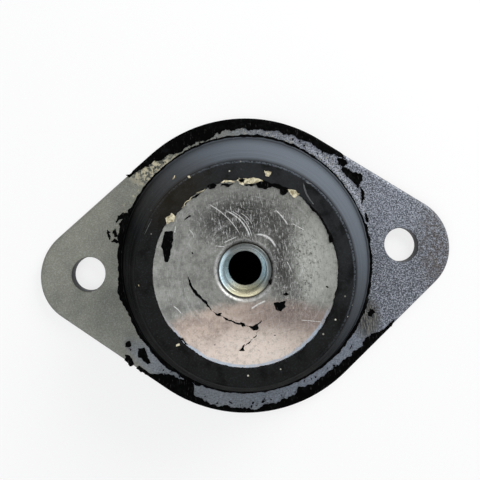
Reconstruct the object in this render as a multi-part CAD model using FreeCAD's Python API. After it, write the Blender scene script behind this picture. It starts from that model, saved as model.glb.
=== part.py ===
"""Round rubber-to-metal engine mount on a two-bolt flange.

A pressed steel flange carries a moulded rubber cone, hollow below. A steel disc with an M8 bush swaged
into it is bonded flush into the cone's top. Millimetres. Z is up from the flange's underside, X runs
through the two bolt holes, and the origin is the middle of the underside.
"""
import FreeCAD, Part
import math
import os

Vector = FreeCAD.Vector

# Flange plate, blanked and pressed from sheet
flange_thickness = 3.0
flange_width = 69.7             # across the round middle
ear_radius = 11.75
hole_pitch = 76.2
hole_diameter = 8.1             # takes an M8 bolt
die_roll_width = 0.8            # slope that blanking leaves round the upper edge
die_roll_depth = 0.55
edge_break = 0.25               # deburred lower edge and upper edge of the holes

# Collar drawn up round the flange's opening, to key the rubber
collar_height = 5.5             # above the plate's upper face
collar_setback = 1.1            # from the rubber's foot in to where the bend starts
bend_radius = 2.0               # inside radius of the bend
bend_facets = 2                 # roundings are drawn as a few flats

# Rubber cone
foot_diameter = 60.2            # thin bead where the rubber meets the flange
foot_lip_height = 0.7           # the bead tapers up into the flank
foot_lip_width = 0.65
shoulder_diameter = 43.2        # upper outer edge of the cone
shoulder_round = 0.5
flank_bulge = 0.6               # how far the flank's middle stands out from straight
flank_facets = 2
collar_lining = 1.2             # rubber on the inside of the collar
skirt_recess = 0.4              # rubber stops this far above the flange's underside
roof_diameter = 25.0            # flat roof of the hollow, level with the bush's end
roof_round = 3.5
knee_round = 3.0                # where the lining turns in to the roof
round_facets = 2
rim_lip_height = 0.25           # rubber stands this far proud of the disc
rim_lip_slope = 0.5             # width of the lip's inner slope

# Top disc, blanked from sheet
mount_height = 27.0             # flange underside to disc face
disc_diameter = 39.0
disc_thickness = 3.0
disc_window = 35.9              # bare face inside the rubber lip
disc_rim_bevel = 1.6            # keys the rubber, and starts just inside the window
disc_countersink = 0.75         # round the bush, at the disc's face

# Threaded bush, M8: a thin spigot swaged into the disc, and a thick body below it
spigot_diameter = 10.3
spigot_counterbore = 8.3
spigot_end_bevel = 0.3
spigot_mouth_bevel = 0.25
counterbore_below_disc = 0.6    # the unthreaded bore runs on past the disc
thread_bore_diameter = 6.8      # wall of the tapped hole
thread_lead_in = 0.7            # chamfer at the body's lower end
bush_body_diameter = 15.0
bush_body_length = 10.0

# Moulding skin left on the flange's flat upper face, along the sloped edge of its round middle
skin_thickness = 0.35
front_skin_reach = 2.45         # in from the plate's edge
rear_skin_reach = 1.75
front_skin_arc = (228.0, 333.0)  # degrees anticlockwise from +X
rear_skin_arc = (40.0, 135.0)

# Worked out from the sizes above
flange_radius = flange_width / 2
front_skin_inner_radius = flange_radius - front_skin_reach
rear_skin_inner_radius = flange_radius - rear_skin_reach
hole_offset = hole_pitch / 2
disc_underside = mount_height - disc_thickness
bush_end = disc_underside - bush_body_length
bend_start = foot_diameter / 2 - collar_setback
collar_outer_radius = bend_start - bend_radius
collar_inner_radius = collar_outer_radius - flange_thickness
collar_top = flange_thickness + collar_height


def lozenge_face(inset=0.0):
    """Face of the flange's outline, drawn in by an inset: round middle and ears joined by tangents."""
    middle_radius, end_radius = flange_radius - inset, ear_radius - inset
    lean = math.asin((middle_radius - end_radius) / hole_offset)
    across, along = math.cos(lean), math.sin(lean)
    ear_x = hole_offset + end_radius * along
    ear_y = end_radius * across
    middle_x = middle_radius * along
    middle_y = middle_radius * across
    ear_tip = hole_offset + end_radius
    right_front, right_rear = Vector(ear_x, -ear_y), Vector(ear_x, ear_y)
    middle_right_rear, middle_left_rear = Vector(middle_x, middle_y), Vector(-middle_x, middle_y)
    left_rear, left_front = Vector(-ear_x, ear_y), Vector(-ear_x, -ear_y)
    middle_left_front, middle_right_front = Vector(-middle_x, -middle_y), Vector(middle_x, -middle_y)
    curves = [
        Part.Arc(right_front, Vector(ear_tip, 0), right_rear),
        Part.LineSegment(right_rear, middle_right_rear),
        Part.Arc(middle_right_rear, Vector(0, middle_radius), middle_left_rear),
        Part.LineSegment(middle_left_rear, left_rear),
        Part.Arc(left_rear, Vector(-ear_tip, 0), left_front),
        Part.LineSegment(left_front, middle_left_front),
        Part.Arc(middle_left_front, Vector(0, -middle_radius), middle_right_front),
        Part.LineSegment(middle_right_front, right_front),
    ]
    return Part.Face(Part.Wire([curve.toShape() for curve in curves]))


def turned(points):
    """Solid of revolution about Z from the (radius, height) corners of a closed section."""
    corners = [Vector(radius, 0, height) for radius, height in points]
    face = Part.Face(Part.makePolygon(corners + corners[:1]))
    return face.revolve(Vector(0, 0, 0), Vector(0, 0, 1), 360)


def rounded_corner(before, corner, after, size, facets):
    """Points that replace a section's corner by a rounding of the given radius, drawn as a few flats."""
    towards_before = Vector(before[0] - corner[0], before[1] - corner[1]).normalize()
    towards_after = Vector(after[0] - corner[0], after[1] - corner[1]).normalize()
    half_angle = towards_before.getAngle(towards_after) / 2
    setback = size / math.tan(half_angle)
    inward = (towards_before + towards_after).normalize()
    centre = Vector(*corner) + inward * (size / math.sin(half_angle))
    start = Vector(*corner) + towards_before * setback - centre
    sweep = math.pi - 2 * half_angle
    turn = math.copysign(1.0, start.cross(Vector(*corner) - centre).z)
    points = []
    for step in range(facets + 1):
        angle = turn * sweep * step / facets
        x = start.x * math.cos(angle) - start.y * math.sin(angle)
        y = start.x * math.sin(angle) + start.y * math.cos(angle)
        points.append((centre.x + x, centre.y + y))
    return points


def edges_on_level(solid, height):
    """Edges that lie wholly at one height."""
    found = []
    for edge in solid.Edges:
        box = edge.BoundBox
        if abs(box.ZMin - height) < 1e-4 and abs(box.ZMax - height) < 1e-4:
            found.append(edge)
    return found


def bend_points(side_radius):
    """Points of one side of the bend, from the flat plate up to the collar's straight wall."""
    centre_height = flange_thickness + bend_radius
    points = []
    for step in range(bend_facets + 1):
        turn = math.pi / 2 * step / bend_facets
        radius = bend_start - side_radius * math.sin(turn)
        points.append((radius, centre_height - side_radius * math.cos(turn)))
    return points


def make_flange_plate():
    """Steel flange: blanked outline with a sloped upper edge, two holes and a drawn collar."""
    plate = lozenge_face().extrude(Vector(0, 0, flange_thickness))
    plate = plate.makeChamfer(die_roll_depth, die_roll_width, edges_on_level(plate, flange_thickness))
    plate = plate.makeChamfer(edge_break, edges_on_level(plate, 0.0))
    plate = plate.cut(Part.makeCylinder(bend_start, flange_thickness))
    for side in (-1, 1):
        plate = plate.cut(bolt_hole(side))
    outer_face = bend_points(bend_radius) + [(collar_outer_radius, collar_top)]
    inner_face = bend_points(bend_radius + flange_thickness) + [(collar_inner_radius, collar_top)]
    collar = turned(outer_face + inner_face[::-1])
    return plate.fuse(collar).removeSplitter()


def bolt_hole(side):
    """Drill for the bolt hole on one side, with the cone that breaks its upper edge."""
    radius = hole_diameter / 2
    drill = Part.makeCylinder(radius, flange_thickness, Vector(side * hole_offset, 0, 0))
    upper_edge = Vector(side * hole_offset, 0, flange_thickness)
    return drill.fuse(Part.makeCone(radius + edge_break, radius, edge_break, upper_edge, Vector(0, 0, -1)))


def make_top_disc():
    """Steel disc with a bevelled rim, bored for the bush and countersunk round it."""
    bore, rim = spigot_diameter / 2, disc_diameter / 2
    return turned([
        (bore, disc_underside),
        (rim, disc_underside),
        (rim, mount_height - disc_rim_bevel),
        (rim - disc_rim_bevel, mount_height),
        (bore + disc_countersink, mount_height),
        (bore, mount_height - disc_countersink),
    ])


def make_threaded_bush():
    """M8 bush: a thin spigot up through the disc, an unthreaded counterbore, and the tapped body."""
    bore, counterbore = thread_bore_diameter / 2, spigot_counterbore / 2
    body, spigot = bush_body_diameter / 2, spigot_diameter / 2
    step_height = disc_underside - counterbore_below_disc
    return turned([
        (bore + thread_lead_in, bush_end),
        (body, bush_end),
        (body, disc_underside),
        (spigot, disc_underside),
        (spigot, mount_height - spigot_end_bevel),
        (spigot - spigot_end_bevel, mount_height),
        (counterbore + spigot_mouth_bevel, mount_height),
        (counterbore, mount_height - spigot_mouth_bevel),
        (counterbore, step_height),
        (bore, step_height - (counterbore - bore)),
        (bore, bush_end + thread_lead_in),
    ])


def flank_points(foot, shoulder):
    """Points of the cone's gently crowned flank, between its foot and its shoulder."""
    points = []
    for step in range(flank_facets + 1):
        share = step / flank_facets
        crown = 4 * flank_bulge * share * (1 - share)
        radius = foot[0] + (shoulder[0] - foot[0]) * share + crown
        points.append((radius, foot[1] + (shoulder[1] - foot[1]) * share))
    return points


def make_rubber_body(embedded):
    """Rubber cone, hollow below, moulded round the embedded pieces.

    The section is drawn whole, over the collar, the disc's rim and the bush's body, and the embedded
    pieces are then taken out of it, so that each meets the rubber face to face.
    """
    foot, shoulder, window = foot_diameter / 2, shoulder_diameter / 2, disc_window / 2
    body, roof = (bush_body_diameter / 2, bush_end), (roof_diameter / 2, bush_end)
    foot_top, lip_top = flange_thickness + foot_lip_height, mount_height + rim_lip_height
    lining_radius = collar_inner_radius - collar_lining
    mouth, knee = (lining_radius, skirt_recess), (lining_radius, collar_top)
    flank = flank_points((foot - foot_lip_width, foot_top), (shoulder, lip_top - shoulder_round))
    outer = [
        mouth,
        (bend_start, skirt_recess),
        (bend_start, flange_thickness),
        (foot, flange_thickness),
    ]
    top = [
        (shoulder - shoulder_round, lip_top),
        (window + rim_lip_slope, lip_top),
        (window, mount_height),
        (window, disc_underside),
        (body[0], disc_underside),
        body,
    ]
    hollow = rounded_corner(body, roof, knee, roof_round, round_facets)
    hollow += rounded_corner(roof, knee, mouth, knee_round, round_facets)
    return turned(outer + flank + top + hollow).cut(embedded).removeSplitter()


def skin_patch(arc, inner_radius):
    """Thin skin on the plate over one arc, from a circle or the rubber's foot out to the sloped edge."""
    level = Vector(0, 0, flange_thickness)
    start, end = arc
    wedge = Part.makeCylinder(flange_width, skin_thickness, level, Vector(0, 0, 1), end - start)
    wedge.rotate(Vector(0, 0, 0), Vector(0, 0, 1), start)
    plate_area = lozenge_face(die_roll_width).extrude(Vector(0, 0, skin_thickness))
    plate_area.translate(level)
    foot = Part.makeCylinder(foot_diameter / 2, skin_thickness, level)
    return wedge.common(plate_area).cut(Part.makeCylinder(inner_radius, skin_thickness, level)).cut(foot)


def make_edge_skin():
    """Remains of the moulding skin, bonded to the flange's upper face in front of and behind the cone."""
    return Part.makeCompound([
        skin_patch(front_skin_arc, front_skin_inner_radius),
        skin_patch(rear_skin_arc, rear_skin_inner_radius),
    ])


def main():
    """Builds every piece and writes one file for each."""
    os.makedirs("parts", exist_ok=True)
    flange_plate = make_flange_plate()
    top_disc = make_top_disc()
    threaded_bush = make_threaded_bush()
    embedded = flange_plate.fuse([top_disc, threaded_bush])
    rubber_body = make_rubber_body(embedded)
    edge_skin = make_edge_skin()
    flange_plate.exportStep("parts/flange_plate.step")
    rubber_body.exportStep("parts/rubber_body.step")
    top_disc.exportStep("parts/top_disc.step")
    threaded_bush.exportStep("parts/threaded_bush.step")
    edge_skin.exportStep("parts/edge_skin.step")


main()
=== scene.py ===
"""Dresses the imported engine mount: a rubber cone moulded between a lozenge flange and a threaded disc.

Meshes are shaped in millimetres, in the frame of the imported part: the origin is the middle of the
flange's underside, +Z runs up to the disc and +X runs through the flange's bolt holes. They are
brought to metres when they are finished.
"""

import logging
import math
import random
from dataclasses import dataclass
from enum import Enum
from functools import reduce
from typing import Callable, Iterable, Optional, Sequence, Union

import bmesh
import bpy
from bmesh.types import BMEdge, BMesh, BMFace, BMVert
from mathutils import Matrix, Vector, noise


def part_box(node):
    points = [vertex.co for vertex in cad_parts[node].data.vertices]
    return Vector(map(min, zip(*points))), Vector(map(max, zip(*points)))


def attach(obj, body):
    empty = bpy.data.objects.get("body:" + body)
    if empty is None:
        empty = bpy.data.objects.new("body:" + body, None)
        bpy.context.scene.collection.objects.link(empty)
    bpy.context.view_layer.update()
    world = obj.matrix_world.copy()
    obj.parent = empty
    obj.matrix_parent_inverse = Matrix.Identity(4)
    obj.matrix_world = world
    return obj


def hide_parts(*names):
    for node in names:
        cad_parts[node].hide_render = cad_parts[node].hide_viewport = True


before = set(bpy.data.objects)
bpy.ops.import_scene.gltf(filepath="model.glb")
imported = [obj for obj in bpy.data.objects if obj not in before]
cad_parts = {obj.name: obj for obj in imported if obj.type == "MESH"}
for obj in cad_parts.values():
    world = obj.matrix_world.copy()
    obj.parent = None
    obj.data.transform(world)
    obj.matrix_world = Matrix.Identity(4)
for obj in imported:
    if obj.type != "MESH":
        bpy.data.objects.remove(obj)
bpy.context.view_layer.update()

MM = 0.001
FULL_TURN = 2 * math.pi
MERGE_DISTANCE = 1e-4
FRACTAL = (0.9, 2.0, 4)  # fall-off, step between scales and number of scales of every ragged edge
UPWARDS = (0, 0, 1)
LOG = logging.getLogger("engine_mount")

Point = tuple[float, float]
Colour = tuple[float, float, float, float]
Socket = bpy.types.NodeSocket
Level = Union[Socket, float]
Tint = Union[Socket, Colour]


class Slot(Enum):
    """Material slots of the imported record."""

    FLANGE = "flange_steel"
    CONE = "cone_rubber"
    DISC = "disc_steel"
    BUSH = "bush_zinc"
    SKIN = "skin_rubber"


def paint(red: int, green: int, blue: int) -> Colour:
    """Turns a colour as it is seen into the linear colour that a shader reads.

    Args:
        red: Red from 0 to 255.
        green: Green from 0 to 255.
        blue: Blue from 0 to 255.

    Returns:
        The linear colour, opaque.
    """
    def linear(value: float) -> float:
        """One channel, from display to linear."""
        return value / 12.92 if value <= 0.04045 else ((value + 0.055) / 1.055) ** 2.4

    return (linear(red / 255), linear(green / 255), linear(blue / 255), 1.0)


def node_box(node: str) -> tuple[Vector, Vector]:
    """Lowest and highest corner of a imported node, in millimetres."""
    low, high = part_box(node)
    return low / MM, high / MM


def polar(radius: float, degrees: float, height: float = 0.0) -> Vector:
    """A place at a radius and an angle from +X."""
    angle = math.radians(degrees)
    return Vector((radius * math.cos(angle), radius * math.sin(angle), height))


def bearing(place: Vector) -> float:
    """The angle of a place about the centre line, 0 to 360 degrees from +X."""
    return math.degrees(math.atan2(place.y, place.x)) % 360


def off_axis(place: Vector) -> float:
    """Distance of a place from the centre line."""
    return math.hypot(place.x, place.y)


def push_out(vert: BMVert, distance: float) -> None:
    """Moves a vertex away from the centre line, on its own level.

    Args:
        vert: The vertex.
        distance: How far it moves.
    """
    radius = off_axis(vert.co)
    scale = (radius + distance) / radius
    vert.co.x *= scale
    vert.co.y *= scale


def ragged(place: Vector, grain: float, seed: float) -> float:
    """Wandering value, about -1 to 1, whose smallest steps are a few tenths of the grain size."""
    return noise.fractal(Vector((place.x, place.y, seed)) / grain, *FRACTAL)


@dataclass(frozen=True)
class Wander:
    """How an edge strays: its reach, the grain of its steps and the seed of its shape."""

    reach: float
    grain: float
    seed: float

    def at(self, place: Vector) -> float:
        """How far it strays at a place."""
        return self.reach * ragged(place, self.grain, self.seed)


def along(stations: Sequence[Point], where: float) -> float:
    """Value at a place between given stations, joined by straight lines and held past the ends.

    Args:
        stations: Pairs of place and value, in rising order of place.
        where: The place to read.

    Returns:
        The value there.
    """
    if where <= stations[0][0]:
        return stations[0][1]
    for (start, before), (end, after) in zip(stations, stations[1:]):
        if where <= end:
            return before + (after - before) * (where - start) / (end - start)
    return stations[-1][1]


def quarter(centre: Point, radii: Point, start: float, sweep: float, steps: int) -> list[Point]:
    """Points of a round corner in a turned section.

    Args:
        centre: Centre of the corner as radius and height.
        radii: Its reach outwards and upwards.
        start: Angle of its first point in degrees.
        sweep: Degrees that it turns through.
        steps: Number of flats.

    Returns:
        Radius and height of each point, ends included.
    """
    angles = [math.radians(start + sweep * step / steps) for step in range(steps + 1)]
    return [(centre[0] + radii[0] * math.cos(a), centre[1] + radii[1] * math.sin(a)) for a in angles]


def of_kind(geometry: Iterable, kind: type) -> list:
    """The vertices, edges or faces among what a mesh operator hands back."""
    return [item for item in geometry if isinstance(item, kind)]


def edges_added(bm: BMesh, make: Callable[[], None]) -> list[BMEdge]:
    """Runs a step of modelling and tells which edges it added.

    Args:
        bm: The mesh.
        make: The step.

    Returns:
        The new edges.
    """
    known = set(bm.edges)
    make()
    return [edge for edge in bm.edges if edge not in known]


def swing(bm: BMesh, first: Vector, centre: Vector, degrees: float, steps: int) -> tuple[BMVert, BMVert]:
    """Swings a point about an upright axis into an arc of edges.

    Args:
        bm: Mesh that takes the arc.
        first: Where it starts.
        centre: A place on the axis.
        degrees: Degrees that it turns through.
        steps: Number of flats.

    Returns:
        Its first and last vertex.
    """
    start = bm.verts.new(first)
    turn = math.radians(degrees)
    swung = bmesh.ops.spin(bm, geom=[start], cent=centre, axis=UPWARDS, angle=turn, steps=steps)
    return start, of_kind(swung["geom_last"], BMVert)[0]


def revolve(bm: BMesh, verts: list[BMVert], edges: list[BMEdge], centre: Vector, steps: int) -> None:
    """Turns vertices and edges once round an upright axis.

    Args:
        bm: Mesh that holds them.
        verts: The vertices.
        edges: The edges between them.
        centre: A place on the axis.
        steps: Number of flats round the turn.
    """
    bmesh.ops.spin(
        bm, geom=verts + edges, cent=centre, axis=UPWARDS, angle=FULL_TURN, steps=steps, use_merge=True
    )


def lathe(bm: BMesh, section: Sequence[Point], steps: int) -> None:
    """Turns a closed section about the centre line.

    Args:
        bm: Mesh that takes the turned shape.
        section: Radius and height of each point in order; the last joins the first.
        steps: Number of flats round the turn.
    """
    verts = [bm.verts.new((radius, 0, height)) for radius, height in section]
    edges = [bm.edges.new(pair) for pair in zip(verts, verts[1:] + verts[:1])]
    revolve(bm, verts, edges, Vector(), steps)
    bmesh.ops.remove_doubles(bm, verts=bm.verts, dist=MERGE_DISTANCE)


def turn_wall(bm: BMesh, section: Sequence[Point], centre: Vector, steps: int) -> list[list[BMEdge]]:
    """Turns an open section about an upright axis.

    Args:
        bm: Mesh that takes the wall.
        section: Radius and height of each point.
        centre: A place on the axis, at height 0.
        steps: Number of flats round the turn.

    Returns:
        Edges of the rim at the section's first point, then those at its last.
    """
    near = 1e-3

    def draw() -> None:
        """The section and its turn."""
        verts = [bm.verts.new(centre + Vector((radius, 0, height))) for radius, height in section]
        edges = [bm.edges.new(pair) for pair in zip(verts, verts[1:])]
        revolve(bm, verts, edges, centre, steps)

    free = [edge for edge in edges_added(bm, draw) if edge.is_boundary]
    rims = []
    for radius, height in (section[0], section[-1]):
        def on_rim(vert: BMVert) -> bool:
            """Whether a vertex lies on this rim."""
            away = (vert.co - centre).xy.length
            return abs(away - radius) < near and abs(vert.co.z - height) < near

        rims.append([edge for edge in free if all(map(on_rim, edge.verts))])
    return rims


def finish_piece(
    bm: BMesh, name: str, material: bpy.types.Material, crease: float = 32.0
) -> bpy.types.Object:
    """Brings a shape to metres, makes it a piece of the scene and dresses it.

    Args:
        bm: The shape in millimetres; it is freed.
        name: Name of the piece.
        material: Its finish.
        crease: Angle in degrees above which an edge stays sharp.

    Returns:
        The finished piece, riding on the part's body.
    """
    bmesh.ops.remove_doubles(bm, verts=bm.verts, dist=MERGE_DISTANCE)
    bmesh.ops.recalc_face_normals(bm, faces=bm.faces)
    bmesh.ops.scale(bm, vec=(MM, MM, MM), verts=bm.verts)
    mesh = bpy.data.meshes.new(name)
    bm.to_mesh(mesh)
    bm.free()
    mesh.shade_smooth()
    mesh.set_sharp_from_angle(angle=math.radians(crease))
    mesh.materials.append(material)
    piece = bpy.data.objects.new(name, mesh)
    bpy.context.scene.collection.objects.link(piece)
    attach(piece, "root")
    LOG.info("%s: %d faces", name, len(mesh.polygons))
    return piece


class Nodes:
    """Short calls that add and join nodes in one tree."""

    def __init__(self, tree: bpy.types.NodeTree) -> None:
        """Takes the tree that the nodes go into."""
        self.tree = tree

    def feed(self, socket: Socket, value: object) -> None:
        """Links an input to an output, or sets its value.

        Args:
            socket: The input.
            value: The output or the value.
        """
        if isinstance(value, Socket):
            self.tree.links.new(value, socket)
        else:
            socket.default_value = value

    def node(self, kind: str, **sockets: object) -> bpy.types.Node:
        """Adds a node and feeds its inputs by name.

        Args:
            kind: Its type, after ShaderNode.
            **sockets: What feeds each input, named with _ for a space.

        Returns:
            The node.
        """
        made = self.tree.nodes.new("ShaderNode" + kind)
        for name, value in sockets.items():
            self.feed(made.inputs[name.replace("_", " ")], value)
        return made

    def step(self, made: bpy.types.Node, *values: object) -> Socket:
        """Feeds a node's inputs in order.

        Args:
            made: The node.
            *values: What feeds its first inputs.

        Returns:
            Its first output.
        """
        for socket, value in zip(made.inputs, values):
            self.feed(socket, value)
        return made.outputs[0]

    def maths(self, kind: str, *values: Level) -> Socket:
        """One arithmetic step on numbers or sockets.

        Args:
            kind: The operation.
            *values: What it works on.

        Returns:
            Its result.
        """
        made = self.node("Math")
        made.operation = kind
        return self.step(made, *values)

    def times(self, *values: Level) -> Socket:
        """Product of the values."""
        return reduce(lambda so_far, value: self.maths("MULTIPLY", so_far, value), values)

    def plus(self, *values: Level) -> Socket:
        """Sum of the values."""
        return reduce(lambda so_far, value: self.maths("ADD", so_far, value), values)

    def minus(self, first: Level, second: Level) -> Socket:
        """The first value less the second."""
        return self.maths("SUBTRACT", first, second)

    def largest(self, *values: Level) -> Socket:
        """Largest of the values."""
        return reduce(lambda so_far, value: self.maths("MAXIMUM", so_far, value), values)

    def length(self, across: Socket, up: Socket) -> Socket:
        """Length of a level line from its two parts."""
        return self.maths("SQRT", self.plus(self.times(across, across), self.times(up, up)))

    def mix(self, share: Level, first: Tint, second: Tint) -> Socket:
        """Blends two colours, from the first at a share of 0 to the second at 1."""
        return self.step(self.node("MixRGB"), share, first, second)


@dataclass(frozen=True)
class Oval:
    """An oval place on the level, as millimetres from the middle, with a soft rim."""

    centre: Point
    radii: Point
    soft: float = 0.6


class Graph(Nodes):
    """A material whose colour is built up in layers. Lengths are in millimetres."""

    spot_wander: float = 0.8
    stroke_edge: Point = (0.6, 0.15)
    stroke_ends: Point = (0.55, 0.4)
    cloud_range: Point = (0.3, 0.7)

    def __init__(self, name: str, ground: Tint = (1, 1, 1, 1)) -> None:
        """Starts a material whose patterns read the piece's own place.

        Args:
            name: Name of the material.
            ground: Its colour below every layer.
        """
        self.material = bpy.data.materials.new(name)
        self.material.use_nodes = True
        super().__init__(self.material.node_tree)
        self.shader = self.tree.nodes["Principled BSDF"]
        self.colour = ground
        self.place = self.mapped(self.node("TexCoord").outputs["Object"], (1 / MM, 1 / MM, 1 / MM))
        self.x, self.y, self.z = self.node("SeparateXYZ", Vector=self.place).outputs

    def mapped(self, vector: Socket, scale: Sequence[float], turn: float = 0.0) -> Socket:
        """A vector scaled, and turned about Z by degrees."""
        turned = (0, 0, math.radians(turn))
        return self.node("Mapping", Vector=vector, Scale=scale, Rotation=turned).outputs[0]

    def noise(self, size: float, detail: float, rough: float, vector: Optional[Socket] = None) -> Socket:
        """Noise about a mean of 0.5.

        Args:
            size: About how wide its features are.
            detail: How many finer layers it has.
            rough: How strong the finer layers are.
            vector: What it reads, if not the place.

        Returns:
            The noise.
        """
        read = vector or self.place
        made = self.node("TexNoise", Vector=read, Scale=1 / size, Detail=detail, Roughness=rough)
        return made.outputs["Fac"]

    def band(self, value: Socket, low: float, high: float, to: Point = (0.0, 1.0)) -> Socket:
        """Smooth step of a value.

        Args:
            value: What it reads.
            low: Where the step starts.
            high: Where it ends; it may lie below the start.
            to: Result at the start and at the end.

        Returns:
            The result.
        """
        made = self.node("MapRange", Value=value, From_Min=low, From_Max=high, To_Min=to[0], To_Max=to[1])
        made.interpolation_type = "SMOOTHSTEP"
        return made.outputs[0]

    def ring(self, rise: Point, fall: Point) -> Socket:
        """Mask of a ring about the centre line, from where it rises to where it falls."""
        return self.times(self.band(self.radius(), *rise), self.band(self.radius(), fall[1], fall[0]))

    def radius(self) -> Socket:
        """Distance from the centre line."""
        return self.length(self.x, self.y)

    def strayed(self, value: Socket, pattern: Socket, reach: float) -> Socket:
        """A value that strays with a noise pattern, by a share of the reach."""
        return self.plus(value, self.times(self.minus(pattern, 0.5), reach))

    def spot(self, oval: Oval, pattern: Optional[Socket] = None) -> Socket:
        """Mask of an oval place: 1 inside it, fading to 0 across its soft rim.

        Args:
            oval: The place.
            pattern: Noise that makes its rim ragged.

        Returns:
            The mask.
        """
        across = self.maths("DIVIDE", self.minus(self.x, oval.centre[0]), oval.radii[0])
        up = self.maths("DIVIDE", self.minus(self.y, oval.centre[1]), oval.radii[1])
        away = self.length(across, up)
        if pattern is not None:
            away = self.strayed(away, pattern, self.spot_wander)
        return self.band(away, 1 + oval.soft, 1 - oval.soft)

    def stroke(self, start: Point, end: Point, width: float, bow: float) -> Socket:
        """Mask of a scratch between two places.

        Args:
            start: One end, x and y.
            end: The other end.
            width: Width across the scratch.
            bow: How far its middle stands off the straight line, to the left of its run.

        Returns:
            Socket that is 1 on the scratch and 0 off it.
        """
        run = Vector((end[0] - start[0], end[1] - start[1]))
        ahead = run.normalized()
        off_x = self.minus(self.x, start[0])
        off_y = self.minus(self.y, start[1])
        forward = self.plus(self.times(off_x, ahead.x), self.times(off_y, ahead.y))
        aside = self.minus(self.times(off_y, ahead.x), self.times(off_x, ahead.y))
        share = self.maths("DIVIDE", forward, run.length)
        arch = self.times(share, self.minus(1.0, share))
        bent = self.minus(aside, self.times(arch, 4 * bow))
        across = self.band(self.maths("ABSOLUTE", bent), *(width * part for part in self.stroke_edge))
        ends = self.band(self.maths("ABSOLUTE", self.minus(share, 0.5)), *self.stroke_ends)
        return self.times(across, ends)

    def lay(self, colour: Tint, *shares: Level) -> None:
        """Lays a colour over the colour so far, by the product of its shares."""
        self.colour = self.mix(self.times(*shares), self.colour, colour)

    def bump(self, height: Socket, depth: float, strength: float) -> None:
        """Lifts the surface by a height pattern; the depth is in millimetres."""
        made = self.node("Bump", Height=height, Strength=strength, Distance=depth * MM)
        self.feed(self.shader.inputs["Normal"], made.outputs[0])

    def dress(
        self, cloud: Socket, rough: Point, metal: float = 0.0, gloss: float = 0.5
    ) -> bpy.types.Material:
        """Feeds the shader.

        Args:
            cloud: Noise that the roughness follows.
            rough: Roughness where that noise is low and where it is high.
            metal: How much of a metal it is.
            gloss: Level of its clear shine.

        Returns:
            The material.
        """
        inputs = self.shader.inputs
        self.feed(inputs["Base Color"], self.colour)
        self.feed(inputs["Roughness"], self.band(cloud, *self.cloud_range, rough))
        inputs["Metallic"].default_value = metal
        inputs["Specular IOR Level"].default_value = gloss
        return self.material


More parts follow.
